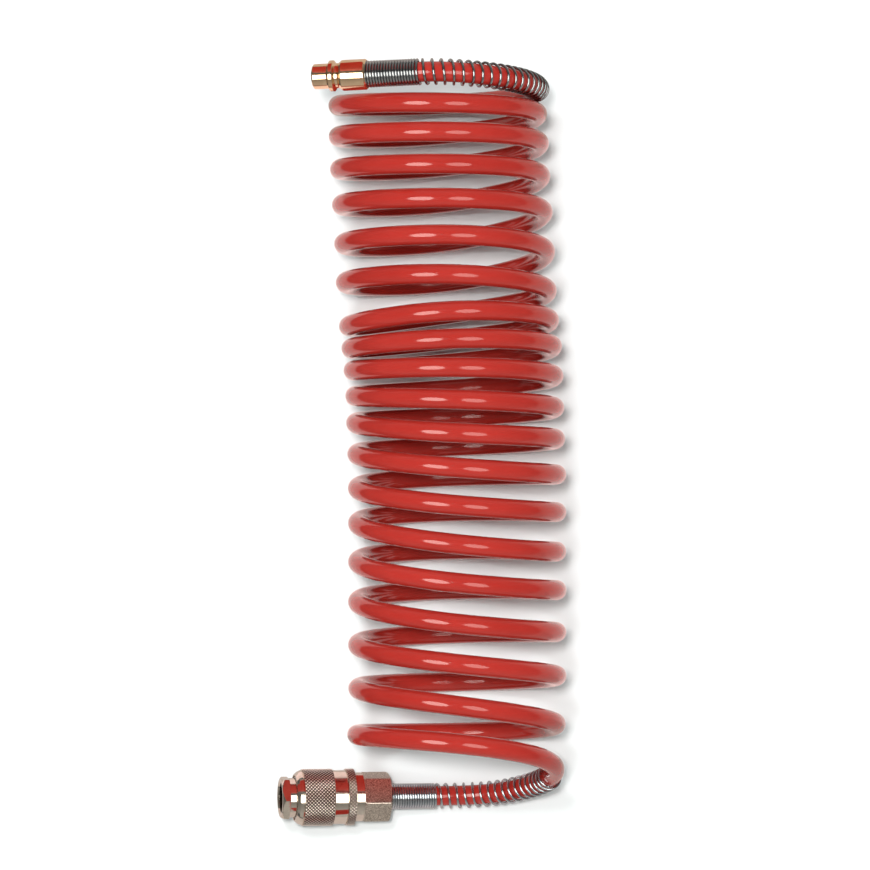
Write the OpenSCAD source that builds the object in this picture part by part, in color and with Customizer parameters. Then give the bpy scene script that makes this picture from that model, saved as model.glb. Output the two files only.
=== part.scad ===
// Recoil air hose with a quick-connect plug and a one-hand quick coupling.
// The coil lies on its side: its axis runs along Y, +Z is up, and the origin is
// on the resting surface under the middle of the whole hose.

/* [Hose] */
// Outer diameter of the nylon tube
hose_od = 8; // [7.8:0.1:8]
// Inner diameter of the nylon tube
hose_id = 6; // [5.6:0.1:6]
// Outer diameter of the wound coil
coil_od = 87.2; // [84:0.4:88]
// Length of the wound coil along its axis
coil_len = 259; // [253:1:259]

/* [Guard springs] */
// Wire thickness of the anti-kink springs
guard_wire = 1; // [0.8:0.05:1]
// Outer diameter of the anti-kink springs
guard_od = 10.5; // [10.4:0.05:10.6]
// Pitch of the open turns
guard_pitch = 3.5; // [3.2:0.1:4.2]

/* [Plug] */
// Diameter of the sealing nose
nose_d = 10; // [9.8:0.05:10]
// Diameter of the locking ridge and of the barrel
barrel_d = 12.2; // [12.1:0.05:12.2]
// Air passage through the nose
plug_bore_d = 6; // [5:0.1:6.4]

/* [Coupling] */
// Bore that takes the plug's barrel
socket_d = 12.4; // [12.3:0.05:12.4]
// Diameter of the neck in front of the sleeve
neck_d = 16; // [15.9:0.05:16]
// Width across flats of the front collar
front_af = 16; // [16:0.1:16.6]
// Diameter over the knurled parts of the sleeve
sleeve_d = 23; // [22.6:0.1:24]
// Width across flats of the wrench hexagon
hex_af = 18; // [17.6:0.1:18.2]
// Travel of the sleeve towards the hose
sleeve_travel = 3.2; // [2.8:0.1:3.2]
// Diameter of a locking ball
ball_d = 3; // [2.9:0.05:3]

/* [Hidden] */

$fn = 96;
e = 0.01;
hr = hose_od / 2;
coil_r = coil_od / 2 - hr;        // radius of the tube's centre line in the coil
coil_z = coil_od / 2;             // the coil rests on z = 0
coil_top = [6.8, 137];            // middle of the coil's two end faces, seen from above
coil_yaw = 1.71;                  // the coil lies a little askew
guard_r = (guard_od - guard_wire) / 2;   // radius of the wire's centre line
wr = guard_wire / 2;

// ---- where the two fittings lie ----
// The plug leaves the coil on a tangent this far past its top, the coupling past its bottom.
lean = 12;
tail_lean = 10.6;                 // sets a corner of the wrench hexagon on the surface
// plug end: the tube runs over the top of the coil and leaves it here
plug_yaw = 1.9;
plug_leave = [6.8 - coil_r * sin(lean), 147.7, coil_z + coil_r * cos(lean)];
plug_len = 21.8;
plug_reach = 41.6;                // from the plug's tip to the point where the tube bends
plug_dir = [cos(lean) * cos(plug_yaw), cos(lean) * sin(plug_yaw), sin(lean)];
plug_tip = plug_leave - plug_reach * plug_dir;
// coupling end: the guard spring lies on the surface, so this arc is a little tighter
tail_r = coil_z - guard_od / 2 - 0.05;
tail_x = 14.6;
tail_y = -141.7;
coupling_leave = [tail_x - tail_r * sin(tail_lean), tail_y, coil_z - tail_r * cos(tail_lean)];
coupling_reach = 65.6;            // from the coupling's mouth to the point where the tube bends
coupling_dir = [cos(tail_lean), 0, -sin(tail_lean)];
coupling_mouth = coupling_leave - coupling_reach * coupling_dir;

// ---- places along the coupling, from its mouth ----
sleeve_a = 5.8;
sleeve_end = 29.9;
ball_a = 12.8;
ball_r = 6.8;                     // distance of a ball's centre from the axis when locked
body_end = 28.4;
tail_a = 22.2;
hex_a = sleeve_end + sleeve_travel + 0.3;
hex_end = 44.5;
barb_a = 37.8;

module at_plug() translate(plug_tip) rotate([0, 90 - lean, plug_yaw]) children();
module at_coupling() translate(coupling_mouth) rotate([0, 90 + tail_lean, 0]) children();
module turned(profile) rotate_extrude($fn = 96) polygon(profile);
module ring(r_in, r_out, z0, z1) turned([[r_in, z0], [r_out, z0], [r_out, z1], [r_in, z1]]);

// ---- sweeping ----
function unit(v) = v / norm(v);
function across(v, t) = unit(v - (v * t) * t);
// tangent of a list of points at index i
function tangent(p, i) = unit(p[min(i + 1, len(p) - 1)] - p[max(i - 1, 0)]);
// a closed tube of radius r and n sides along points p, with a sideways vector q for each point
module sweep(p, q, r, n) {
  m = len(p);
  pts = concat([for (i = [0 : m - 1])
    let (t = tangent(p, i), u = across(q[i], t), v = cross(t, u))
    for (k = [0 : n - 1]) p[i] + r * (cos(360 * k / n) * u + sin(360 * k / n) * v)],
    [p[0], p[m - 1]]);
  faces = concat(
    [for (k = [0 : n - 1]) [k, (k + 1) % n, m * n]],
    [for (i = [0 : m - 2]) for (k = [0 : n - 1])
      let (a = i * n + k, b = i * n + (k + 1) % n)
      each [[a, a + n, b], [b, a + n, b + n]]],
    [for (k = [0 : n - 1]) [(m - 1) * n + (k + 1) % n, (m - 1) * n + k, m * n + 1]]);
  polyhedron(points = pts, faces = faces, convexity = 10);
}

// ---- routes, by the distance u from the point where the straight end begins to bend ----
function plug_phi(u) = 90 + lean - max(u, 0) / coil_r * 180 / PI;
function plug_out(u) = [cos(plug_phi(u)), 0, sin(plug_phi(u))];
function plug_route(u) = u < 0 ? plug_leave + u * plug_dir :
  [6.8 + coil_r * cos(plug_phi(u)), plug_leave[1] + 0.033 * u - 0.095 * (sqrt(u * u + 144) - 12), coil_z + coil_r * sin(plug_phi(u))];
function tail_phi(u) = -90 - tail_lean + max(u, 0) / tail_r * 180 / PI;
function tail_out(u) = [cos(tail_phi(u)), 0, sin(tail_phi(u))];
function tail_route(u) = u < 0 ? coupling_leave + u * coupling_dir :
  [tail_x + tail_r * cos(tail_phi(u)), tail_y + 0.22 * (sqrt(u * u + 625) - 25) + 0.0000065 * u * u * u, coil_z + tail_r * sin(tail_phi(u))];
plug_u1 = coil_r * (lean + 90) * PI / 180;   // right-hand side of the coil
tail_u1 = tail_r * (tail_lean + 90) * PI / 180;

// the last bend of each free stretch turns square into the coil's end face
coil_dir = [-sin(coil_yaw), cos(coil_yaw), 0];    // along the coil's axis, towards the plug
top_face = [coil_top[0], coil_top[1], coil_z];
bottom_face = top_face - coil_len * coil_dir;
plug_last = plug_route(plug_u1);
tail_last = tail_route(tail_u1);
join = 0.1;                       // gap between the free stretches and the coil's end faces
plug_slope = 3.4;                 // how far each stretch already slants along the coil there
tail_slope = 16;
plug_bend = ((plug_last - top_face) * coil_dir - 1 - join) / cos(plug_slope);
tail_bend = ((bottom_face - tail_last) * coil_dir - 1 - join) / cos(tail_slope);

module hose_coil() {
  color([0.78, 0.17, 0.15])
  translate(top_face) rotate([90, 0, coil_yaw])
    turned([[coil_r - hr, 0.6], [coil_r - hr + 0.6, 0], [coil_r + hr - 0.6, 0], [coil_r + hr, 0.6],
      [coil_r + hr, coil_len - 0.6], [coil_r + hr - 0.6, coil_len], [coil_r - hr + 0.6, coil_len], [coil_r - hr, coil_len - 0.6]]);
}

module hose_plug_end() {
  us = [for (i = [0 : 17]) i * plug_u1 / 17];
  p = concat([plug_leave - (plug_reach - plug_len + 0.2) * plug_dir, plug_leave - 3 * plug_dir], [for (u = us) plug_route(u)],
    [for (g = [15 : 15 : 90]) plug_last + plug_bend * (sin(g) - sin(plug_slope)) * [0, 0, -1] - plug_bend * (cos(plug_slope) - cos(g)) * coil_dir],
    [plug_last + plug_bend * (1 - sin(plug_slope)) * [0, 0, -1] - (plug_bend * cos(plug_slope) + 1) * coil_dir]);
  q = concat([plug_out(0), plug_out(0)], [for (u = us) plug_out(u)], [for (g = [15 : 15 : 105]) plug_out(plug_u1)]);
  color([0.78, 0.17, 0.15]) {
    sweep(p, q, hr, 12);
    // the end that is pushed over the plug's barb, squeezed a little in its socket
    at_plug() ring(hose_id / 2 + 0.45, hr - 0.2, 13.6, plug_len + 0.3);
  }
}

module hose_coupling_end() {
  us = [for (i = [0 : 17]) i * tail_u1 / 17];
  p = concat([coupling_leave - (coupling_reach - hex_end - 0.1) * coupling_dir, coupling_leave - 3 * coupling_dir], [for (u = us) tail_route(u)],
    [for (g = [30 : 15 : 90]) tail_last + tail_bend * (sin(g) - sin(tail_slope)) * [0, 0, 1] + tail_bend * (cos(tail_slope) - cos(g)) * coil_dir],
    [tail_last + tail_bend * (1 - sin(tail_slope)) * [0, 0, 1] + (tail_bend * cos(tail_slope) + 1) * coil_dir]);
  q = concat([tail_out(0), tail_out(0)], [for (u = us) tail_out(u)], [for (g = [30 : 15 : 105]) tail_out(tail_u1)]);
  color([0.78, 0.17, 0.15]) {
    sweep(p, q, hr, 12);
    at_coupling() ring(hose_id / 2 + 0.45, hr - 0.2, barb_a + 0.2, hex_end + 0.6);
  }
}

// close-wound part of a guard spring, as one ribbed sleeve from z0 to z1
module close_wound(z0, z1) {
  n = round((z1 - z0) / (guard_wire * 1.08));
  step = (z1 - z0) / n;
  // each turn shows as one half-round rib on a thin sleeve
  turned(concat(
    [[guard_r - wr, z0]],
    [for (i = [0 : n - 1]) for (k = [0 : 4])
      let (t = -90 + 45 * k) [guard_r + 0.05 + (wr - 0.05) * cos(t), z0 + (i + 0.5) * step + step / 2 * sin(t)]],
    [[guard_r - wr, z1]]));
}

// open turns of a guard spring, from u0 to u1 along the route
module open_wound(is_plug, u0, u1) {
  per = 10;
  n = round((u1 - u0) / guard_pitch) * per;
  function c(u) = is_plug ? plug_route(u) : tail_route(u);
  function o(u) = is_plug ? plug_out(u) : tail_out(u);
  function t(u) = unit(c(u + 0.5) - c(u - 0.5));
  p = [for (i = [0 : n])
    let (u = u0 + (u1 - u0) * i / n, a = 360 * i / per, x = across(o(u), t(u)), y = cross(t(u), x))
    c(u) + guard_r * (cos(a) * x + sin(a) * y)];
  q = [for (i = [0 : n])
    let (u = u0 + (u1 - u0) * i / n, a = 360 * i / per, x = across(o(u), t(u)), y = cross(t(u), x))
    cos(a) * x + sin(a) * y];
  sweep(p, q, wr, 5);
}

module plug_guard_spring() {
  color([0.75, 0.77, 0.8]) {
    at_plug() close_wound(plug_len - 1.6, plug_reach - 0.1);
    open_wound(true, -0.6, plug_u1 - 2);
  }
}

module coupling_guard_spring() {
  color([0.75, 0.77, 0.8]) {
    at_coupling() close_wound(hex_end - 4, coupling_reach - 0.1);
    open_wound(false, -0.6, tail_u1 - 8);
  }
}

module plug_body() {
  b = barrel_d / 2;
  n = nose_d / 2;
  h = plug_bore_d / 2;
  color([0.80, 0.63, 0.36]) at_plug() turned([
    [h + 0.4, 0], [n - 0.6, 0], [n, 0.6], [n, 6.1], [b, 6.9], [b, 8.6], [n - 0.05, 9.2],
    [n - 0.05, 10.4], [b, 12.1], [b, plug_len - 0.6], [b - 0.5, plug_len],
    [guard_od / 2 + 0.15, plug_len], [guard_od / 2 + 0.15, 13.4], [hose_id / 2 + 0.1, 13.4],
    // three barbs
    [hose_id / 2 + 0.1, 15.6], [hose_id / 2 + 0.4, 15.6], [hose_id / 2 + 0.1, 17.4],
    [hose_id / 2 + 0.4, 17.4], [hose_id / 2 + 0.1, 19.2], [hose_id / 2 + 0.4, 19.2],
    [hose_id / 2 - 0.1, 21.4], [2.2, 21.4], [2.2, 11], [h, 10.2], [h, 0.4]]);
}

module hexagon(af, z0, z1, turn) rotate([0, 0, turn]) translate([0, 0, z0]) cylinder(d = af / cos(30), h = z1 - z0, $fn = 6);

module coupling_body() {
  s = socket_d / 2;
  k = neck_d / 2;
  color([0.66, 0.64, 0.60]) at_coupling() difference() {
    union() {
      // front collar: a hexagon turned to a cone at its front
      intersection() {
        hexagon(front_af, 0, 3.2, 5);
        turned([[0, 0], [k - 0.2, 0], [k + 1.35, 1.25], [k + 1.35, 2.9], [k + 0.9, 3.2], [0, 3.2]]);
      }
      turned([[0, 0.2], [k - 0.1, 0.2], [k - 0.1, 3.1], [k, 3.1], [k, 5.95], [k - 0.5, 5.95], [k - 0.5, 6.95], [k, 6.95], [k, body_end], [0, body_end]]);
    }
    // stepped bore: guide bore, relief groove, ball zone, nose bore with a seal groove, valve seat and chamber
    turned([[0, -e], [s + 0.5, -e], [s, 0.6], [s, 9.4], [s + 0.4, 9.5], [s + 0.4, 10.7], [s + 0.1, 10.8], [s + 0.1, 17], [5.15, 17],
      [5.15, 18.6], [7, 18.6], [7, 20.8], [5.15, 20.8], [5.15, 24.8], [5.6, 25.2], [6.9, 25.2], [6.9, body_end + e], [0, body_end + e]]);
    for (i = [0 : 3]) rotate([0, 0, 45 + 90 * i]) translate([0, 0, ball_a]) rotate([0, 90, 0]) {
      translate([0, 0, 6]) cylinder(r = ball_d / 2 - 0.04, h = 0.3);
      translate([0, 0, 6.2]) cylinder(r1 = ball_d / 2 - 0.04, r2 = ball_d / 2 + 0.14, h = 0.8);
      translate([0, 0, 7 - e]) cylinder(r = ball_d / 2 + 0.14, h = 1.5);
    }
  }
}

module sleeve_stop_ring() {
  color([0.6, 0.6, 0.6]) at_coupling() rotate_extrude($fn = 96) translate([neck_d / 2 + 0.05, 6.45]) circle(r = 0.44, $fn = 24);
}

module coupling_sleeve() {
  k = neck_d / 2;
  o = sleeve_d / 2;
  color([0.68, 0.66, 0.62]) at_coupling() turned([
    // outside, from the mouth to the hose
    [k + 0.9, sleeve_a], [k + 1.5, sleeve_a], [k + 2.5, 6.9], [o - 0.3, 8.4], [o - 0.8, 8.45], [o - 0.8, 8.75],
    [o - 0.2, 8.8], [o, 9], [o, 20.9], [o - 0.6, 21.2], [o - 0.6, 27], [o - 1, 27], [o - 1, 27.25],
    [o, 27.3], [o, sleeve_end - 0.2], [o - 0.2, sleeve_end],
    // inside, back to the mouth: spring chamber, ball land, ramp, release recess, lip
    [10.05, sleeve_end], [10.05, 15.2], [k + 0.35, 15.2], [k + 0.35, 13.2], [9.52, 9.3], [9.52, 8.1],
    [k + 0.15, 8.1], [k + 0.15, 7], [k + 0.9, 7]]);
}

module sleeve_spring() {
  turns = 4;
  per = 16;
  z0 = 15.2 + 0.45;
  z1 = tail_a - 0.45;
  p = [for (i = [0 : turns * per]) let (a = 360 * i / per) [9.02 * cos(a), 9.02 * sin(a), z0 + (z1 - z0) * i / (turns * per)]];
  q = [for (i = [0 : turns * per]) let (a = 360 * i / per) [cos(a), sin(a), 0]];
  color([0.7, 0.7, 0.7]) at_coupling() sweep(p, q, 0.4, 6);
}

module locking_ball(i) {
  color([0.8, 0.8, 0.8]) at_coupling() rotate([0, 0, 45 + 90 * i]) translate([ball_r, 0, ball_a]) sphere(d = ball_d, $fn = 48);
}
module locking_ball_1() locking_ball(0);
module locking_ball_2() locking_ball(1);
module locking_ball_3() locking_ball(2);
module locking_ball_4() locking_ball(3);

module nose_seal() {
  color([0.1, 0.1, 0.1]) at_coupling() rotate_extrude($fn = 96) translate([5.94, 19.7]) circle(r = 1, $fn = 32);
}

module valve_poppet() {
  color([0.80, 0.63, 0.36]) at_coupling() difference() {
    turned([[0, 24.2], [3.4, 24.2], [3.4, 20], [4.6, 20], [4.6, 24.6], [4.3, 24.9], [4.3, 26.1], [6.6, 26.1], [6.6, 27.4], [2.2, 27.4], [2.2, 32.4], [0, 32.4]]);
    // air slots across the crown
    for (i = [0 : 2]) rotate([0, 0, 60 * i]) translate([-6, -1, 21]) cube([12, 2, 2.9]);
  }
}

module valve_seal() {
  color([0.1, 0.1, 0.1]) at_coupling() ring(4.35, 6.5, 25.25, 26.05);
}

module valve_spring() {
  turns = 5;
  per = 16;
  z0 = 27.4 + 0.47;
  z1 = 36.8 - 0.47;
  p = [for (i = [0 : turns * per]) let (a = 360 * i / per) [5.4 * cos(a), 5.4 * sin(a), z0 + (z1 - z0) * i / (turns * per)]];
  q = [for (i = [0 : turns * per]) let (a = 360 * i / per) [cos(a), sin(a), 0]];
  color([0.7, 0.7, 0.7]) at_coupling() sweep(p, q, 0.42, 6);
}

module body_gasket() {
  color([0.1, 0.1, 0.1]) at_coupling() ring(6.95, 8, body_end + 0.02, body_end + 0.78);
}

module coupling_tail() {
  k = neck_d / 2;
  c = hex_af / cos(30) / 2;
  color([0.66, 0.64, 0.60]) at_coupling() difference() {
    union() {
      turned([[0, tail_a], [9.6, tail_a], [9.9, tail_a + 0.3], [9.9, hex_a + 0.5], [0, hex_a + 0.5]]);
      intersection() {
        hexagon(hex_af, hex_a, hex_end, 10);
        turned([[0, hex_a], [c - 0.4, hex_a], [c + 0.2, hex_a + 0.5], [c + 0.2, hex_end - 2.2], [8.7, hex_end], [0, hex_end]]);
      }
    }
    // thread bore, valve chamber and the air passage through the barb
    turned([[0, tail_a - e], [k + 0.35, tail_a - e], [k + 0.05, tail_a + 0.3], [k + 0.05, body_end + 0.8], [6.9, body_end + 0.8], [6.9, 36.8], [2.2, 36.8], [2.2, hex_end - 0.1], [0, hex_end - 0.1]]);
    // ring-shaped socket round the barb, which ends just inside the hexagon's face
    turned([[hose_id / 2 + 0.1, barb_a], [guard_od / 2 + 0.2, barb_a], [guard_od / 2 + 0.2, hex_end + e], [0, hex_end + e], [0, hex_end - 0.3], [hose_id / 2 - 0.1, hex_end - 0.3],
      [hose_id / 2 + 0.4, hex_end - 2.1], [hose_id / 2 + 0.1, hex_end - 2.1], [hose_id / 2 + 0.4, hex_end - 3.7], [hose_id / 2 + 0.1, hex_end - 3.7]]);
  }
}

hose_coil();
hose_plug_end();
hose_coupling_end();
plug_body();
plug_guard_spring();
coupling_body();
coupling_sleeve();
coupling_tail();
coupling_guard_spring();
sleeve_stop_ring();
sleeve_spring();
locking_ball_1();
locking_ball_2();
locking_ball_3();
locking_ball_4();
nose_seal();
valve_poppet();
valve_seal();
valve_spring();
body_gasket();
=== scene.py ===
import math

import bpy
import numpy as np
from mathutils import Matrix, Vector


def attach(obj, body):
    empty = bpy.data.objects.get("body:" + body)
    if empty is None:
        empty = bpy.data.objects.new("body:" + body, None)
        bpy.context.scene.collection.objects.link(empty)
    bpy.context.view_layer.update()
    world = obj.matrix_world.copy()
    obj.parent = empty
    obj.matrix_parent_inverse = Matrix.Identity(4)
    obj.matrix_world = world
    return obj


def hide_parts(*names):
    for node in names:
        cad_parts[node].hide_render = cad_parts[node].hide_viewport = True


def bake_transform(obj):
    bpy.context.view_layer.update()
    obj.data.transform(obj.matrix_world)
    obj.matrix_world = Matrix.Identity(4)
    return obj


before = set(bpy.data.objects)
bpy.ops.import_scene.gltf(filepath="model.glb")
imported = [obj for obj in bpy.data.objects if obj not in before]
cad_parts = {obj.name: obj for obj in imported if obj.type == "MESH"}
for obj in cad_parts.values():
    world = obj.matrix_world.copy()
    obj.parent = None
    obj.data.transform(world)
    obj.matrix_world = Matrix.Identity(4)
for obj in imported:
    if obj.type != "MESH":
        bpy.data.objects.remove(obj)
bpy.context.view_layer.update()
scene = bpy.context.scene
MM = 0.001
TAU = 2 * math.pi

# ------------------------------------------------------------------ camera
cam_data = bpy.data.cameras.new("camera")
cam = bpy.data.objects.new("camera", cam_data)
scene.collection.objects.link(cam)
cam.location = (0.0058, 0.0052, 2.103)
cam.rotation_euler = (0, 0, 0)
cam_data.sensor_width = 36
cam_data.lens = 213.1
cam_data.clip_start = 0.05
cam_data.clip_end = 60
scene.camera = cam
scene.view_settings.view_transform = "Standard"
scene.view_settings.look = "None"

# ------------------------------------------------------------------ where the fittings lie (mm, as in the CAD)
LEAN, YAW, TAIL_LEAN = math.radians(12), math.radians(1.9), math.radians(10.6)
COIL_R, COIL_Z, TAIL_R = 39.6, 43.6, 38.3
PLUG_REACH, COUPLING_REACH = 41.6, 65.6
plug_dir = np.array([math.cos(LEAN) * math.cos(YAW), math.cos(LEAN) * math.sin(YAW), math.sin(LEAN)])
plug_leave = np.array([6.8 - COIL_R * math.sin(LEAN), 147.7, COIL_Z + COIL_R * math.cos(LEAN)])
plug_tip = plug_leave - PLUG_REACH * plug_dir
coup_dir = np.array([math.cos(TAIL_LEAN), 0, -math.sin(TAIL_LEAN)])
coup_leave = np.array([14.6 - TAIL_R * math.sin(TAIL_LEAN), -141.7, COIL_Z - TAIL_R * math.cos(TAIL_LEAN)])
coup_mouth = coup_leave - COUPLING_REACH * coup_dir
PLUG = Matrix.Translation(Vector(plug_tip)) @ Matrix.Rotation(YAW, 4, "Z") @ Matrix.Rotation(math.pi / 2 - LEAN, 4, "Y")
COUP = Matrix.Translation(Vector(coup_mouth)) @ Matrix.Rotation(math.pi / 2 + TAIL_LEAN, 4, "Y")


# ------------------------------------------------------------------ splines
def spline(xs, ys, slope0=None, slope1=None):
    """A cubic spline through (xs, ys), natural or clamped at its ends, as a function."""
    x, y = np.array(xs, float), np.array(ys, float)
    n = len(x)
    h = np.diff(x)
    a = np.zeros((n, n))
    r = np.zeros(n)
    for i in range(1, n - 1):
        a[i, i - 1], a[i, i], a[i, i + 1] = h[i - 1], 2 * (h[i - 1] + h[i]), h[i]
        r[i] = 6 * ((y[i + 1] - y[i]) / h[i] - (y[i] - y[i - 1]) / h[i - 1])
    if slope0 is None:
        a[0, 0] = 1
    else:
        a[0, 0], a[0, 1], r[0] = 2 * h[0], h[0], 6 * ((y[1] - y[0]) / h[0] - slope0)
    if slope1 is None:
        a[-1, -1] = 1
    else:
        a[-1, -1], a[-1, -2], r[-1] = 2 * h[-1], h[-1], 6 * (slope1 - (y[-1] - y[-2]) / h[-1])
    m = np.linalg.solve(a, r)

    def f(t):
        t = np.asarray(t, float)
        i = np.clip(np.searchsorted(x, t) - 1, 0, n - 2)
        d, e, k = t - x[i], x[i + 1] - t, h[i]
        return (
            (m[i] * e**3 + m[i + 1] * d**3) / (6 * k)
            + (y[i] / k - m[i] * k / 6) * e
            + (y[i + 1] / k - m[i + 1] * k / 6) * d
        )

    return f


# ------------------------------------------------------------------ the hose's route
# One turn runs left side, top, right side, underside; each list holds a turn's place along the coil, in mm.
left = [136.9, 124.5, 111.4, 97.2, 81.6, 66.1, 48.7, 39.8, 31.0, 20.8, 10.0, -2.4, -16.0, -30.0, -45.4, -61.4, -78.6, -96.1, -114.6]
front = [135.6, 124.2, 111.6, 98.2, 83.8, 68.3, 53.8, 43.0, 31.8, 19.2, 6.1, -7.6, -22.3, -37.6, -52.8, -68.8, -84.6, -101.0, -115.9]
right = [133.4, 121.7, 108.6, 94.2, 78.3, 62.8, 51.0, 40.6, 28.8, 16.1, 3.6, -10.6, -25.6, -41.4, -56.8, -73.6, -91.1, -110.4, -128.8]
under = [127.4, 114.3, 99.6, 83.7, 67.4, 54.4, 44.0, 34.6, 24.0, 12.6, 0.6, -11.7, -26.0, -41.5, -57.8, -75.7, -95.3, -116.0]
middle = [6.8, 7.3, 7.8, 8.7, 9.6, 10.3, 11.4, 12.4, 13.2, 13.7, 14.0, 14.5, 14.6, 14.6, 14.7, 14.6, 14.7, 14.5, 14.4]
radius = [39.7, 39.9, 39.9, 39.9, 40.0, 40.0, 39.7, 39.9, 39.8, 39.7, 39.7, 39.7, 39.7, 39.6, 39.7, 39.6, 39.7, 39.5, 39.6]
U0 = 0.25 - LEAN / TAU
U1 = 19.75 + TAIL_LEAN / TAU
knots = [(U0, 147.7), (0.2986, 147.3), (0.5, 143.2), (0.75, 139.8)]
for k in range(19):
    knots += [(k + 1, left[k]), (k + 1.25, front[k]), (k + 1.5, right[k])]
    if k < 18:
        knots.append((k + 1.75, under[k]))
knots += [(19.562, -133.6), (19.61, -136.6), (19.655, -139.2), (U1, -141.7)]
along = spline([k[0] for k in knots], [k[1] for k in knots], 0.0332 * TAU * COIL_R, 0.0)
ku = [U0, 0.5, 0.8] + [k + 1.25 for k in range(19)] + [19.45, 19.6, 19.68, U1]
mid_x = spline(ku, [6.8, 6.8, 6.8] + middle + [14.5, 14.6, 14.6, 14.6], 0, 0)
coil_r = spline(ku, [39.6, 39.6, 39.6] + radius + [39.2, 38.5, 38.3, 38.3], 0, 0)
coil_z = spline(ku, [43.6, 43.6, 43.6] + [r + 4 for r in radius] + [43.6, 43.6, 43.6, 43.6], 0, 0)


def coil_point(u):
    u = np.asarray(u, float)
    r = coil_r(u)
    return np.stack([mid_x(u) - r * np.cos(TAU * u), along(u), coil_z(u) + r * np.sin(TAU * u)], -1)


def coil_out(u):
    u = np.asarray(u, float)
    return np.stack([-np.cos(TAU * u), 0 * u, np.sin(TAU * u)], -1)


us = np.linspace(U0, U1, int(round((U1 - U0) * 96)) + 1)
arc = coil_point(us)
head_t = np.arange(27.6, 0.5, -2.0)
tail_t = np.arange(2.0, 27.5, 2.0)
head = plug_leave - head_t[:, None] * plug_dir
tail = coup_leave - tail_t[:, None] * coup_dir
route = np.concatenate([head, arc, tail])
outward = np.concatenate([np.repeat(coil_out([U0]), len(head), 0), coil_out(us), np.repeat(coil_out([U1]), len(tail), 0)])
step = np.linalg.norm(np.diff(route, axis=0), axis=1)
route_s = np.concatenate([[0], np.cumsum(step)])
s_leave = route_s[len(head)]
s_arrive = route_s[len(head) + len(arc) - 1]


def unit(v):
    return v / np.linalg.norm(v, axis=-1, keepdims=True)


def frames(p, out):
    """Tangent, sideways and third direction at each point of a line, with out as the reference."""
    t = np.gradient(p, axis=0)
    t = unit(t)
    n = unit(out - (out * t).sum(-1, keepdims=True) * t)
    return t, n, np.cross(t, n)


def at(s):
    """Point, tangent, normal and binormal of the route at arc length s."""
    s = np.asarray(s, float)
    p = np.stack([np.interp(s, route_s, route[:, k]) for k in range(3)], -1)
    o = np.stack([np.interp(s, route_s, outward[:, k]) for k in range(3)], -1)
    a = np.stack([np.interp(s + 0.4, route_s, route[:, k]) for k in range(3)], -1)
    b = np.stack([np.interp(s - 0.4, route_s, route[:, k]) for k in range(3)], -1)
    t = unit(a - b)
    n = unit(o - (o * t).sum(-1, keepdims=True) * t)
    return p, t, n, np.cross(t, n)


# ------------------------------------------------------------------ meshes
def make_mesh(name, verts, faces, material, uv=None, angle=None):
    """A mesh object from points in mm. uv is one pair for each face corner, in face order."""
    me = bpy.data.meshes.new(name)
    me.from_pydata((np.asarray(verts, float) * MM).tolist(), [], faces)
    me.update()
    me.polygons.foreach_set("use_smooth", [True] * len(me.polygons))
    if uv is not None:
        layer = me.uv_layers.new(name="UVMap")
        layer.data.foreach_set("uv", np.asarray(uv, np.float32).ravel())
    if angle is not None:
        me.set_sharp_from_angle(angle=math.radians(angle))
    me.materials.append(material)
    ob = bpy.data.objects.new(name, me)
    scene.collection.objects.link(ob)
    return ob


def grid(name, rings, material, closed_along=False, caps=False, uv_scale=(1, 1), angle=None, matrix=None):
    """A skin over rings, an array (m, n, 3) in mm. closed_along joins the last ring to the first."""
    rings = np.asarray(rings, float)
    m, n = rings.shape[:2]
    verts = rings.reshape(-1, 3)
    if matrix is not None:
        a = np.array(matrix)
        verts = verts @ a[:3, :3].T + a[:3, 3]
    rows = m if closed_along else m - 1
    i = np.arange(rows)[:, None]
    k = np.arange(n)[None, :]
    i2, k2 = (i + 1) % m, (k + 1) % n
    quads = np.stack([i * n + k, i * n + k2, i2 * n + k2, i2 * n + k], -1).reshape(-1, 4)
    d = np.linalg.norm(np.diff(np.concatenate([rings, rings[:1]]), axis=0), axis=2).mean(1)
    v = np.concatenate([[0], np.cumsum(d)])
    c = np.linalg.norm(np.roll(rings, -1, 1) - rings, axis=2).sum(1).mean()
    uu = np.stack([k * c / n + 0 * i, (k + 1) * c / n + 0 * i, (k + 1) * c / n + 0 * i, k * c / n + 0 * i], -1)
    vv = np.stack([v[i] + 0 * k, v[i] + 0 * k, v[i + 1] + 0 * k, v[i + 1] + 0 * k], -1)
    uv = np.stack([uu * uv_scale[0], vv * uv_scale[1]], -1).reshape(-1, 2)
    faces = quads.tolist()
    if caps:
        faces.append(list(range(n))[::-1])
        faces.append([(m - 1) * n + j for j in range(n)])
        uv = np.concatenate([uv, np.zeros((2 * n, 2))])
    return make_mesh(name, verts, faces, material, uv, angle)


def fix_normals(ob):
    """Turns all faces outwards."""
    import bmesh

    bm = bmesh.new()
    bm.from_mesh(ob.data)
    bmesh.ops.recalc_face_normals(bm, faces=bm.faces)
    bm.to_mesh(ob.data)
    bm.free()
    return ob


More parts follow.
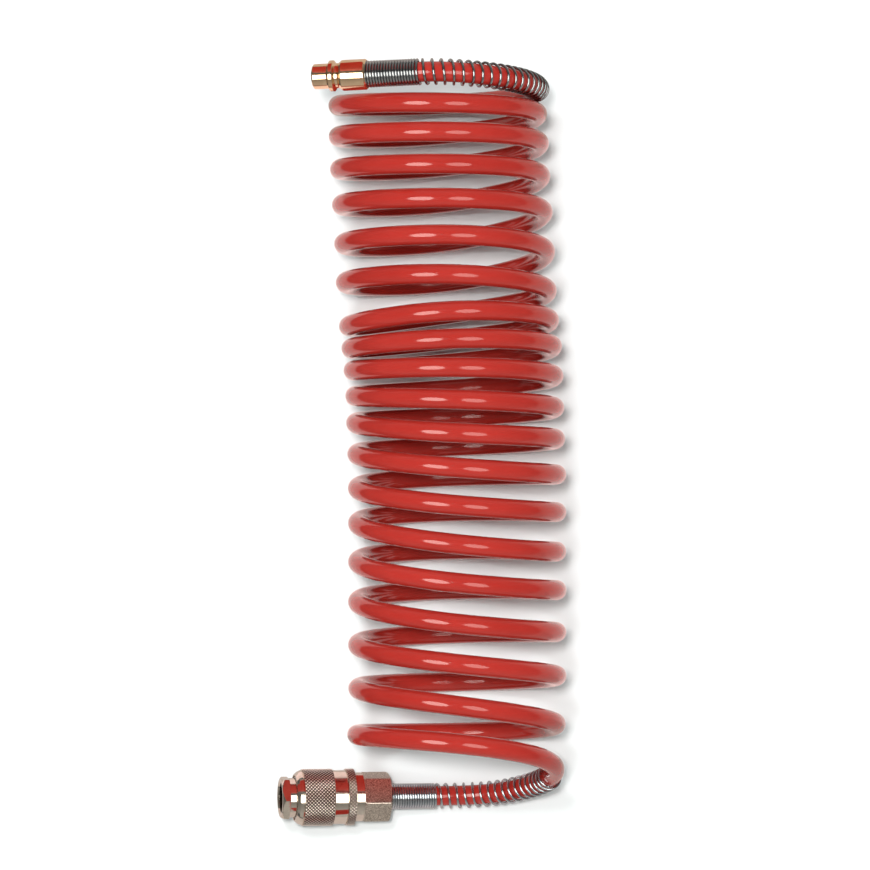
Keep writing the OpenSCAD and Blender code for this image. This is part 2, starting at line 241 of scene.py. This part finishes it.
def fillet(points, default=0.12, k=3, special=None):
    """Rounds the corners of a closed outline of (along, radius) points. special gives radii by index."""
    special = special or {}
    out = []
    n = len(points)
    for i in range(n):
        p0, p1, p2 = (np.array(points[j % n], float) for j in (i - 1, i, i + 1))
        f = special.get(i, default)
        d0, d1 = p0 - p1, p2 - p1
        l0, l1 = np.linalg.norm(d0), np.linalg.norm(d1)
        if f <= 0 or l0 < 1e-6 or l1 < 1e-6:
            out.append(p1)
            continue
        d0, d1 = d0 / l0, d1 / l1
        ang = math.acos(max(-1, min(1, float(d0 @ d1))))
        if ang > math.pi - 0.06 or ang < 0.02:
            out.append(p1)
            continue
        t = min(f / math.tan(ang / 2), 0.46 * l0, 0.46 * l1)
        f = t * math.tan(ang / 2)
        a, b = p1 + d0 * t, p1 + d1 * t
        c = p1 + unit(d0 + d1) * (f / math.sin(ang / 2))
        va, vb = a - c, b - c
        om = math.acos(max(-1, min(1, float(va @ vb) / (f * f))))
        for j in range(k + 1):
            q = j / k
            out.append(c + (math.sin((1 - q) * om) * va + math.sin(q * om) * vb) / math.sin(om))
    return np.array(out)


def dense(points, longest):
    """Adds points so that no span of a closed outline is longer than longest, in mm."""
    out = []
    n = len(points)
    for i in range(n):
        a, b = points[i], points[(i + 1) % n]
        m = max(1, int(math.ceil(np.linalg.norm(b - a) / longest)))
        out += [a + (b - a) * j / m for j in range(m)]
    return np.array(out)


def supported(points, near=0.05):
    """Adds a point close to each end of a long span, so that a flat or straight face shades straight."""
    out = []
    n = len(points)
    for i in range(n):
        a, b = np.asarray(points[i], float), np.asarray(points[(i + 1) % n], float)
        out.append(a)
        length = np.linalg.norm(b - a)
        if length > 6 * near:
            out += [a + (b - a) * near / length, b - (b - a) * near / length]
    return np.array(out)


def lathe(name, outline, n, matrix, material, shape=None, angle=32, support=True):
    """A closed turned piece. shape(a, r, theta) may change the radius."""
    outline = supported(outline) if support else np.asarray(outline, float)
    th = np.linspace(0, TAU, n, endpoint=False)
    a = np.repeat(outline[:, :1], n, 1)
    r = np.repeat(outline[:, 1:], n, 1)
    if shape is not None:
        r = shape(a, r, th[None, :])
    rings = np.stack([r * np.cos(th), r * np.sin(th), a], -1)
    ob = grid(name, rings, material, closed_along=True, angle=angle, matrix=matrix)
    return fix_normals(ob)


# ------------------------------------------------------------------ materials
def new_material(name):
    m = bpy.data.materials.new(name)
    m.use_nodes = True
    nt = m.node_tree
    b = next(x for x in nt.nodes if x.type == "BSDF_PRINCIPLED")
    return m, nt, b


def node(nt, kind, **values):
    x = nt.nodes.new(kind)
    for k, v in values.items():
        if k.startswith("_"):
            setattr(x, k[1:], v)
        else:
            x.inputs[k.replace("_", " ")].default_value = v
    return x


def coords(nt, kind="Object", scale=(1, 1, 1)):
    c = nt.nodes.new("ShaderNodeTexCoord")
    mp = nt.nodes.new("ShaderNodeMapping")
    mp.inputs["Scale"].default_value = scale
    nt.links.new(c.outputs[kind], mp.inputs["Vector"])
    return mp.outputs["Vector"]


def noise(nt, vector, scale, detail=4.0, rough=0.55):
    x = nt.nodes.new("ShaderNodeTexNoise")
    x.inputs["Scale"].default_value = scale
    x.inputs["Detail"].default_value = detail
    x.inputs["Roughness"].default_value = rough
    nt.links.new(vector, x.inputs["Vector"])
    return x.outputs["Fac"]


def ramp(nt, fac, stops):
    x = nt.nodes.new("ShaderNodeValToRGB")
    el = x.color_ramp.elements
    while len(el) > 1:
        el.remove(el[-1])
    el[0].position, el[0].color = stops[0][0], stops[0][1]
    for p, c in stops[1:]:
        e = el.new(p)
        e.color = c
    nt.links.new(fac, x.inputs["Fac"])
    return x.outputs["Color"]


def span(nt, fac, lo, hi, a=0.0, b=1.0):
    x = nt.nodes.new("ShaderNodeMapRange")
    x.inputs["From Min"].default_value = a
    x.inputs["From Max"].default_value = b
    x.inputs["To Min"].default_value = lo
    x.inputs["To Max"].default_value = hi
    nt.links.new(fac, x.inputs["Value"])
    return x.outputs["Result"]


def bump(nt, b, height, strength, distance, chain=None):
    x = nt.nodes.new("ShaderNodeBump")
    x.inputs["Strength"].default_value = strength
    x.inputs["Distance"].default_value = distance
    nt.links.new(height, x.inputs["Height"])
    if chain is not None:
        nt.links.new(chain, x.inputs["Normal"])
    nt.links.new(x.outputs["Normal"], b.inputs["Normal"])
    return x.outputs["Normal"]


def grey(v):
    return (v, v, v, 1)


def hose_material():
    m, nt, b = new_material("red_nylon")
    uv = coords(nt, "UV", (1, 1, 1))
    ob = coords(nt, "Object")
    # slow change of depth along the tube, and a faint lengthwise drawing line
    slow = noise(nt, ob, 26, 3)
    nt.links.new(ramp(nt, slow, [(0.3, (0.314, 0.0175, 0.0122, 1)), (0.7, (0.360, 0.023, 0.0168, 1))]), b.inputs["Base Color"])
    fine = noise(nt, ob, 900, 3)
    nt.links.new(span(nt, fine, 0.075, 0.125, 0.3, 0.7), b.inputs["Roughness"])
    line = noise(nt, coords(nt, "UV", (900, 12, 1)), 1.0, 3)
    n1 = bump(nt, b, line, 0.06, 0.0002)
    wave = noise(nt, ob, 160, 2)
    bump(nt, b, wave, 0.02, 0.0006, n1)
    b.inputs["IOR"].default_value = 1.5
    b.inputs["Specular IOR Level"].default_value = 0.5
    b.inputs["Subsurface Weight"].default_value = 0.1
    b.inputs["Subsurface Radius"].default_value = (1.0, 0.25, 0.15)
    b.inputs["Subsurface Scale"].default_value = 0.002
    b.inputs["Coat Weight"].default_value = 0.15
    b.inputs["Coat Roughness"].default_value = 0.08
    return m


def metal(name, dark, light, rough, lines=None, grain=None, tone=220):
    """A worn metal: two tones, roughness that varies, turning marks (UV) and grain."""
    m, nt, b = new_material(name)
    ob = coords(nt, "Object")
    nt.links.new(ramp(nt, noise(nt, ob, tone, 5), [(0.35, dark + (1,)), (0.68, light + (1,))]), b.inputs["Base Color"])
    b.inputs["Metallic"].default_value = 1.0
    nt.links.new(span(nt, noise(nt, ob, 700, 4), rough[0], rough[1], 0.3, 0.7), b.inputs["Roughness"])
    chain = None
    if lines:
        count, strength = lines
        chain = bump(nt, b, noise(nt, coords(nt, "UV", (0.02, count, 1)), 1.0, 3), strength, 0.00006)
    if grain:
        scale, strength, depth = grain
        chain = bump(nt, b, noise(nt, ob, scale, 3, 0.6), strength, depth, chain)
    return m


brass = metal("turned_brass", (0.80, 0.575, 0.375), (0.90, 0.68, 0.46), (0.07, 0.13), lines=(14, 0.10))
brass_inner = metal("valve_brass", (0.62, 0.45, 0.22), (0.74, 0.56, 0.30), (0.22, 0.34), grain=(900, 0.1, 0.00005))
nickel = metal("turned_nickel", (0.68, 0.62, 0.54), (0.80, 0.74, 0.66), (0.08, 0.15), lines=(11, 0.10), grain=(2600, 0.05, 0.00004))
nickel_hex = metal("grainy_nickel", (0.27, 0.235, 0.20), (0.78, 0.72, 0.635), (0.275, 0.29), grain=(2200, 0.08, 0.00008), tone=1900)
nickel_knurl = metal("knurled_nickel", (0.82, 0.765, 0.70), (0.94, 0.89, 0.83), (0.28, 0.32), grain=(1800, 0.06, 0.00004))
# painted shade: the knurl's grooves are darkened towards black by their depth, over a bright base colour
kt = nickel_knurl.node_tree
kb = next(x for x in kt.nodes if x.type == "BSDF_PRINCIPLED")
groove = kt.nodes.new("ShaderNodeAttribute")
groove.attribute_name = "groove"
groove_shade = kt.nodes.new("ShaderNodeMix")
groove_shade.data_type = "RGBA"
groove_shade.blend_type = "MULTIPLY"
groove_shade.inputs["Factor"].default_value = 1.0
kt.links.new(kb.inputs["Base Color"].links[0].from_socket, groove_shade.inputs["A"])
kt.links.new(ramp(kt, groove.outputs["Fac"], [(0.30, (1, 1, 1, 1)), (0.52, (0.07, 0.045, 0.04, 1)), (0.85, (0.012, 0.009, 0.008, 1))]), groove_shade.inputs["B"])
kt.links.new(groove_shade.outputs["Result"], kb.inputs["Base Color"])
wire = metal("spring_wire", (0.30, 0.32, 0.335), (0.42, 0.44, 0.455), (0.08, 0.14), grain=(1400, 0.05, 0.00003))
# a lighter copy of the spring wire for the coupling side: painted light for this spring's brighter look
wire_2 = metal("spring_wire_coupling", (0.44, 0.49, 0.535), (0.58, 0.63, 0.675), (0.09, 0.15), grain=(1400, 0.05, 0.00003))
steel = metal("plain_steel", (0.42, 0.42, 0.42), (0.55, 0.55, 0.55), (0.22, 0.34), grain=(900, 0.1, 0.00005))
ball = metal("ball_steel", (0.62, 0.62, 0.63), (0.72, 0.72, 0.73), (0.04, 0.08), grain=(500, 0.02, 0.00003))


def rubber_material():
    m, nt, b = new_material("black_nitrile")
    ob = coords(nt, "Object")
    nt.links.new(ramp(nt, noise(nt, ob, 400, 4), [(0.3, (0.010, 0.010, 0.010, 1)), (0.7, (0.028, 0.028, 0.027, 1))]), b.inputs["Base Color"])
    nt.links.new(span(nt, noise(nt, ob, 900, 3), 0.42, 0.6, 0.3, 0.7), b.inputs["Roughness"])
    bump(nt, b, noise(nt, ob, 1800, 3), 0.15, 0.00005)
    return m


rubber = rubber_material()
red = hose_material()

# ------------------------------------------------------------------ hose
SIDES = 28
t, n, bn = frames(route, outward)
ang = np.linspace(0, TAU, SIDES, endpoint=False)
rings = route[:, None, :] + 4.0 * (np.cos(ang)[None, :, None] * n[:, None, :] + np.sin(ang)[None, :, None] * bn[:, None, :])
hose = fix_normals(grid("air_hose", rings, red, caps=True, uv_scale=(0.001, 0.001)))
tuple(coil_point(19.5) * MM)
tuple(coil_point(0.5) * MM)
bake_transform(hose)
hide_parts("hose_coil", "hose_plug_end", "hose_coupling_end")


# ------------------------------------------------------------------ guard springs
def guard(name, s_list, turns, node_name, body, wire_r, phase, material):
    """A round wire wound right-handed on the route. turns gives the turn count at each place in s_list."""
    per = 30
    total = turns[-1]
    q = np.linspace(0, total, int(total * per) + 1)
    s = np.interp(q, turns, s_list)
    # round the change of pitch off
    k = np.ones(per // 2) / (per // 2)
    pad = np.concatenate([2 * s[0] - s[per // 2:0:-1], s, 2 * s[-1] - s[-2:-per // 2 - 2:-1]])
    s = np.convolve(pad, k, "same")[per // 2:-(per // 2)]
    p, tt, nn, bb = at(s)
    a = TAU * q + phase
    c = p + 4.75 * (np.cos(a)[:, None] * nn + np.sin(a)[:, None] * bb)
    radial = unit(c - p)
    wt = unit(np.gradient(c, axis=0))
    rn = unit(radial - (radial * wt).sum(-1, keepdims=True) * wt)
    rb = np.cross(wt, rn)
    g = np.linspace(0, TAU, 12, endpoint=False)
    w = np.interp(q, turns, wire_r)
    rr = c[:, None, :] + w[:, None, None] * (np.cos(g)[None, :, None] * rn[:, None, :] + np.sin(g)[None, :, None] * rb[:, None, :])
    ob = fix_normals(grid(name, rr, material, caps=True, uv_scale=(1, 1)))
    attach(ob, body)
    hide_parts(node_name)
    return ob


# plug side: close-wound from inside the barrel to just before the bend, then open
s0 = s_leave - (PLUG_REACH - 20.3)
close_end = s_leave + 1.13
n_close = (close_end - s0) / 1.15
open_end = s_leave + 71.0
n_open = (open_end - close_end) / 3.56
guard("plug_guard_wire", [s0, close_end, open_end], [0, n_close, n_close + n_open], "plug_guard_spring", "plug_end", [0.585, 0.585, 0.5], phase=5.49, material=wire)
# coupling side, wound from the loose end towards the hexagon
open_start = s_arrive - 60.0
close_start = s_arrive + 1.82
s1 = s_arrive + (COUPLING_REACH - 40.6)
n_open = (close_start - open_start) / 3.7
n_close = (s1 - close_start) / 1.02
guard("coupling_guard_wire", [open_start, close_start, s1], [0, n_open, n_open + n_close], "coupling_guard_spring", "root", [0.5, 0.52, 0.52], phase=1.7, material=wire_2)

# ------------------------------------------------------------------ plug
plug_outline = [
    (0.0, 3.5), (0.0, 4.3), (0.55, 5.0), (6.05, 5.0), (6.2, 5.0), (6.9, 6.15), (8.55, 6.15), (9.25, 5.1), (9.4, 4.95), (10.4, 4.95),
    (12.0, 6.1), (21.2, 6.1), (21.8, 5.55), (21.8, 5.40), (13.4, 5.40), (13.4, 3.1), (15.6, 3.1), (15.6, 3.38), (17.4, 3.1), (17.4, 3.38),
    (19.2, 3.1), (19.2, 3.38), (21.4, 2.9), (21.4, 2.2), (11.0, 2.2), (10.2, 3.0), (0.5, 3.0),
]
plug = lathe("plug_brass", fillet(plug_outline, 0.1, 3, {2: 0.25, 5: 0.45, 6: 0.5, 10: 0.3, 11: 0.25}), 144, PLUG, brass)
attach(plug, "plug_end")
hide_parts("plug_body")


# ------------------------------------------------------------------ coupling
def hex_radius(th, af, turn):
    """Distance from the axis to a hexagon's side in direction th."""
    f = (th - math.radians(turn) - math.pi / 6 + math.pi / 6) % (math.pi / 3) - math.pi / 6
    # corners lie at turn + 60 k degrees
    f = (th - math.radians(turn)) % (math.pi / 3) - math.pi / 6
    return af / 2 / np.cos(f)


def body_shape(a, r, th):
    flange = (a < 3.25) & (r > 7.95)
    return np.where(flange, np.minimum(r, hex_radius(th, 16.0, 5) + 0 * a), r)


body_outline = [
    (0.0, 6.75), (0.0, 7.75), (1.25, 9.4), (2.85, 9.4), (3.2, 8.95), (3.25, 7.95), (5.95, 8.0), (5.95, 7.5), (6.95, 7.5), (6.95, 8.0), (28.4, 8.0),
    (28.4, 6.9), (25.2, 6.9), (25.2, 5.6), (24.8, 5.15), (20.8, 5.15), (20.8, 7.0), (18.6, 7.0), (18.6, 5.15), (17.4, 5.15), (17.4, 6.3), (10.9, 6.3), (10.9, 6.2), (0.6, 6.2),
]
body_pts = fillet(body_outline, 0.1, 3, {1: 0.2, 2: 0.3, 3: 0.15})
body_pts = dense(body_pts, 0.8)
coupling_body = lathe("coupling_front_body", body_pts, 240, COUP, nickel, body_shape, angle=26)
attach(coupling_body, "root")


def tri(x):
    """A triangle wave between 0 and 1."""
    return np.abs(((x + 0.5) % 1.0) - 0.5) * 2


KNURLS = 50
TILT = 1.02


def knurl(a, th, r0, depth):
    """Crossed grooves: depth to take off the radius."""
    w = th * KNURLS / TAU
    z = a * TILT * KNURLS / (TAU * r0)
    h = np.minimum(tri(w + z), tri(w - z))
    return depth * (1 - np.clip(h * 1.6, 0, 1))


def sleeve_shape(a, r, th):
    cut = np.zeros(np.broadcast(a, th).shape)
    outside = r > 11.2
    main = outside & (a > 8.86) & (a < 21.02)
    ring = outside & (a > 26.74) & (a < 29.86)
    cut = np.where(main, knurl(a, th, 11.5, 0.26), cut)
    cut = np.where(ring, knurl(a - 26.7, th, 11.5, 0.26), cut)
    return r - cut


sleeve_outline = [
    (5.8, 8.95), (5.8, 9.5), (6.9, 10.5), (8.4, 11.2), (8.45, 10.7), (8.75, 10.7), (8.82, 11.48), (8.9, 11.5), (21.0, 11.5), (21.08, 11.45), (21.2, 10.9), (26.4, 10.9),
    (26.45, 10.5), (26.62, 10.5), (26.7, 11.45), (26.76, 11.5), (29.82, 11.5), (29.9, 11.4), (29.9, 10.1), (15.2, 10.1), (15.2, 8.35), (13.2, 8.35), (9.3, 9.52), (8.1, 9.52), (8.1, 8.15), (7.0, 8.15), (7.0, 8.95),
]
pts = fillet(sleeve_outline, 0.08, 2, {1: 0.35, 2: 0.5, 3: 0.12, 6: 0, 7: 0, 8: 0, 9: 0, 10: 0.1, 14: 0, 15: 0, 16: 0, 17: 0})
pts = supported(pts)
fine = []
for i in range(len(pts)):
    a0, b0 = pts[i], pts[(i + 1) % len(pts)]
    knurled = min(a0[1], b0[1]) > 11.4 and abs(b0[0] - a0[0]) > 1
    m = int(math.ceil(abs(b0[0] - a0[0]) / 0.14)) if knurled else 1
    fine += [a0 + (b0 - a0) * j / m for j in range(m)]
sleeve = lathe("coupling_knurled_sleeve", np.array(fine), 500, COUP, nickel_knurl, sleeve_shape, angle=24, support=False)
# the plain bands take the turned finish
sleeve.data.materials.append(nickel)
inv = np.array(COUP.inverted())
co = np.zeros(len(sleeve.data.polygons) * 3)
sleeve.data.polygons.foreach_get("center", co)
loc = (co.reshape(-1, 3) / MM) @ inv[:3, :3].T + inv[:3, 3]
rad = np.hypot(loc[:, 0], loc[:, 1])
is_knurl = (rad > 11.1) & (((loc[:, 2] > 8.8) & (loc[:, 2] < 21.1)) | (loc[:, 2] > 26.65))
sleeve.data.polygons.foreach_set("material_index", np.where(is_knurl, 0, 1).astype(np.int32))
vc = np.zeros(len(sleeve.data.vertices) * 3)
sleeve.data.vertices.foreach_get("co", vc)
vl = (vc.reshape(-1, 3) / MM) @ inv[:3, :3].T + inv[:3, 3]
vr = np.hypot(vl[:, 0], vl[:, 1])
# groove depth, 0 at the crest to 1 at the bottom; knurled_nickel darkens by it as painted shade
deep = np.where((vr > 11.1) & (((vl[:, 2] > 8.86) & (vl[:, 2] < 21.02)) | (vl[:, 2] > 26.74)), np.clip((11.5 - vr) / 0.26, 0, 1), 0)
sleeve.data.attributes.new("groove", "FLOAT", "POINT").data.foreach_set("value", deep.astype(np.float32))
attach(sleeve, "sleeve")
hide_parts("coupling_sleeve")


def tail_shape(a, r, th):
    hexa = (a > 33.4) & (r > 8.6)
    return np.where(hexa, np.minimum(r, hex_radius(th, 18.0, 11.6) + 0 * a), r)


tail_outline = [
    (22.2, 8.35), (22.2, 9.6), (22.5, 9.9), (33.4, 9.9), (33.45, 9.95), (34.0, 10.6), (43.8, 10.6), (44.5, 9.7), (44.5, 5.45), (37.8, 5.45), (37.8, 3.1),
    (40.8, 3.1), (40.8, 3.4), (42.4, 3.1), (42.4, 3.4), (44.2, 2.9), (44.2, 2.2), (36.8, 2.2), (36.8, 6.9), (29.2, 6.9), (29.2, 8.05), (22.5, 8.05),
]
tp = dense(fillet(tail_outline, 0.1, 3, {3: 0, 4: 0, 5: 0.2, 6: 0.2, 7: 0.3}), 0.8)
coupling_tail = lathe("coupling_hexagon_tail", tp, 240, COUP, nickel_hex, tail_shape, angle=26)
coupling_tail.data.materials.append(nickel)
co = np.zeros(len(coupling_tail.data.polygons) * 3)
coupling_tail.data.polygons.foreach_get("center", co)
loc = (co.reshape(-1, 3) / MM) @ inv[:3, :3].T + inv[:3, 3]
coupling_tail.data.polygons.foreach_set("material_index", np.where(loc[:, 2] > 33.42, 0, 1).astype(np.int32))
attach(coupling_tail, "root")
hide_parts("coupling_tail")
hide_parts("coupling_body")


# ------------------------------------------------------------------ the two springs inside the coupling
def inner_spring(node_name, radius, wire_r, front, rear, turns):
    """A small compression spring, built in the coupling's frame and fixed in place."""
    q = np.linspace(0, turns, turns * 36 + 1)
    a = TAU * q
    c = np.stack([radius * np.cos(a), radius * np.sin(a), front + (rear - front) * q / turns], -1)
    wt = unit(np.gradient(c, axis=0))
    out = np.stack([np.cos(a), np.sin(a), 0 * a], -1)
    rn = unit(out - (out * wt).sum(-1, keepdims=True) * wt)
    rb = np.cross(wt, rn)
    g = np.linspace(0, TAU, 12, endpoint=False)
    rr = c[:, None, :] + wire_r * (np.cos(g)[None, :, None] * rn[:, None, :] + np.sin(g)[None, :, None] * rb[:, None, :])
    ob = fix_normals(grid(node_name + "_wire", rr, steel, caps=True, matrix=COUP))
    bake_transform(ob)
    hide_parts(node_name)
    return ob


inner_spring("sleeve_spring", 9.02, 0.4, 15.65, 21.75, 4)
inner_spring("valve_spring", 5.4, 0.42, 27.87, 36.33, 5)

# ------------------------------------------------------------------ inner pieces keep their CAD shape
for names, mat in (
    (("sleeve_stop_ring",), steel),
    (("locking_ball_1", "locking_ball_2", "locking_ball_3", "locking_ball_4"), ball),
    (("nose_seal", "valve_seal", "body_gasket"), rubber),
    (("valve_poppet",), brass_inner),
):
    for name in names:
        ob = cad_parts[name]
        ob.data.materials.clear()
        ob.data.materials.append(mat)


# ------------------------------------------------------------------ floor, surroundings and light
def plane(name, x0, x1, y0, y1, z, material):
    me = bpy.data.meshes.new(name)
    me.from_pydata([(x0, y0, z), (x1, y0, z), (x1, y1, z), (x0, y1, z)], [], [(0, 1, 2, 3)])
    me.materials.append(material)
    ob = bpy.data.objects.new(name, me)
    scene.collection.objects.link(ob)
    return ob


def plain(name, colour, rough=0.6, low=None):
    m, nt, b = new_material(name)
    ob = coords(nt, "Object")
    low = low or tuple(c * 0.985 for c in colour)
    nt.links.new(ramp(nt, noise(nt, ob, 6, 2), [(0.3, low + (1,)), (0.7, colour + (1,))]), b.inputs["Base Color"])
    b.inputs["Roughness"].default_value = rough
    b.inputs["Specular IOR Level"].default_value = 0.1
    return m


floor = plane("floor", -14, 14, -14, 14, 0.0, plain("white_floor", (0.69, 0.69, 0.69), 0.9))
floor.visible_glossy = False


def reflected_floor(name, near_colour, far_colour):
    """What the gloss sees of the floor: part lit, part glowing, so the object's shadow does not blacken the rims."""
    m, nt, b = new_material(name)
    c = nt.nodes.new("ShaderNodeTexCoord")
    sep = nt.nodes.new("ShaderNodeSeparateXYZ")
    nt.links.new(c.outputs["Object"], sep.inputs[0])
    far = span(nt, sep.outputs["X"], 0.0, 1.0, 0.06, 0.32)
    tone = [(0.0, near_colour + (1,)), (1.0, far_colour + (1,))]
    nt.links.new(ramp(nt, far, [(p, tuple(0.42 * v for v in c[:3]) + (1,)) for p, c in tone]), b.inputs["Base Color"])
    nt.links.new(ramp(nt, far, tone), b.inputs["Emission Color"])
    b.inputs["Emission Strength"].default_value = 1.0
    b.inputs["Roughness"].default_value = 0.9
    b.inputs["Specular IOR Level"].default_value = 0.1
    return m


# glowing floor cards seen only in reflections, painted reflections of the floor; beside the coil the card is tinted
# red, painted red bounce light from the turns
for name, y0, y1, near_colour, far_colour in (
    ("floor_gloss_coupling", -0.8, -0.118, (0.40, 0.335, 0.31), (0.40, 0.33, 0.30)),
    ("floor_gloss_coil", -0.118, 0.128, (0.66, 0.50, 0.475), (0.60, 0.33, 0.29)),
    ("floor_gloss_plug", 0.128, 0.8, (0.40, 0.335, 0.30), (0.40, 0.33, 0.295)),
):
    near = plane(name, -0.115, 0.52, y0, y1, 0.0004, reflected_floor("reflected_" + name, near_colour, far_colour))
    near.visible_camera = False
    near.visible_diffuse = False
    near.visible_shadow = False
    near.visible_transmission = False
# a dark sheet seen only in reflections, left of the coil: a painted dark reflection
card = plane("dark_card", -0.9, -0.115, -0.8, 0.8, 0.0006, plain("dark_card", (0.05, 0.05, 0.05), 0.9))
card.visible_camera = False
card.visible_diffuse = False
card.visible_shadow = False
card.visible_transmission = False

world = bpy.data.worlds.new("studio")
scene.world = world
world.use_nodes = True
bg = world.node_tree.nodes["Background"]
wt = world.node_tree
wc = wt.nodes.new("ShaderNodeTexCoord")
wsep = wt.nodes.new("ShaderNodeSeparateXYZ")
wt.links.new(wc.outputs["Generated"], wsep.inputs[0])
along = span(wt, wsep.outputs["Y"], 0.0, 1.0, -1.0, 1.0)
wt.links.new(ramp(wt, along, [(0.0, (0.50, 0.47, 0.43, 1)), (0.25, (0.27, 0.253, 0.232, 1)), (0.5, (0.13, 0.122, 0.112, 1)), (0.75, (0.17, 0.16, 0.147, 1)), (1.0, (0.42, 0.39, 0.36, 1))]), bg.inputs["Color"])
bg.inputs["Strength"].default_value = 1.0


def area(name, pos, size, power, aim=(0.01, 0, 0.05), size_y=None, colour=(1, 1, 1), glossy=True, shape="RECTANGLE"):
    d = bpy.data.lights.new(name, "AREA")
    d.shape = shape
    d.size = size
    if shape in ("RECTANGLE", "ELLIPSE"):
        d.size_y = size_y or size
    d.energy = power
    d.color = colour
    o = bpy.data.objects.new(name, d)
    scene.collection.objects.link(o)
    o.location = pos
    z = (Vector(pos) - Vector(aim)).normalized()
    x = (Vector((1, 0, 0)) if abs(z.x) < 0.8 else Vector((0, 1, 0)))
    x = (x - x.dot(z) * z).normalized()
    o.rotation_euler = Matrix((x, z.cross(x), z)).transposed().to_euler()
    o.visible_glossy = glossy
    o.visible_camera = False
    return o


def sky(angle_x, angle_y, distance):
    """A place in the air, angle_x degrees to the right of straight up and angle_y towards the plug end."""
    ax, ay = math.tan(math.radians(angle_x)), math.tan(math.radians(angle_y))
    v = Vector((ax, ay, 1)).normalized() * distance
    return (v.x + 0.01, v.y, v.z + 0.05)


box_l = area("softbox_left", sky(-22.5, -6, 1.9), 0.92, 20, size_y=1.3, colour=(1.0, 0.95, 0.88), shape="ELLIPSE")
box_r = area("softbox_right", sky(19.6, -6, 1.9), 0.88, 11, size_y=1.3, colour=(1.0, 0.95, 0.88), shape="ELLIPSE")
for box in (box_l, box_r):
    box.visible_diffuse = False
area("key", sky(-3, 3.5, 2.4), 0.24, 44, glossy=False, shape="DISK", colour=(1.0, 0.99, 0.98))
area("key_soft", sky(-8, 17, 2.4), 0.4, 25, glossy=False, shape="DISK", colour=(0.90, 0.98, 0.99))
area("overhead", sky(-2, 3, 2.5), 1.1, 10, size_y=1.1, glossy=False, colour=(0.82, 0.97, 0.98))
area("fill", (0.0, 0.0, 2.3), 6.0, 56, size_y=6.0, glossy=False, colour=(0.80, 0.95, 0.965))
area("side_left", (-1.45, 0.0, 0.72), 2.0, 2, size_y=1.2, glossy=False, colour=(0.90, 0.98, 1.0))
area("side_right", (1.45, 0.0, 0.72), 2.0, 2, size_y=1.2, glossy=False, colour=(0.90, 0.98, 1.0))


def red_card(name, corners, strength):
    """A glowing red card seen only in the metal: a painted reflection of the red hose."""
    m, nt, b = new_material(name)
    ob = coords(nt, "Object")
    b.inputs["Base Color"].default_value = (0.3, 0.02, 0.01, 1)
    nt.links.new(ramp(nt, noise(nt, ob, 60, 3), [(0.3, (0.55, 0.020, 0.014, 1)), (0.7, (0.75, 0.045, 0.03, 1))]), b.inputs["Emission Color"])
    b.inputs["Emission Strength"].default_value = strength
    me = bpy.data.meshes.new(name)
    me.from_pydata(corners, [], [(0, 1, 2, 3)])
    me.materials.append(m)
    o = bpy.data.objects.new(name, me)
    scene.collection.objects.link(o)
    o.visible_camera = False
    o.visible_diffuse = False
    o.visible_shadow = False
    o.visible_transmission = False
    return o


# painted reflections of the red hose in the plug and in the coupling's sleeve, knurl and hexagon
red_card("red_card_plug", [(-0.060, 0.172, 0.074), (-0.027, 0.172, 0.074), (-0.027, 0.172, 0.126), (-0.060, 0.172, 0.126)], 0.40)
red_card("red_card_coupling", [(-0.085, -0.126, 0.025), (-0.029, -0.126, 0.025), (-0.029, -0.126, 0.048), (-0.085, -0.126, 0.048)], 0.38)
red_card("red_card_low", [(-0.0492, -0.159, 0.0245), (-0.0235, -0.159, 0.0245), (-0.0235, -0.159, 0.0325), (-0.0492, -0.159, 0.0325)], 0.25)
red_card("red_card_hexagon", [(-0.0285, -0.1255, 0.010), (0.001, -0.1255, 0.010), (0.001, -0.1255, 0.044), (-0.0285, -0.1255, 0.044)], 0.46)
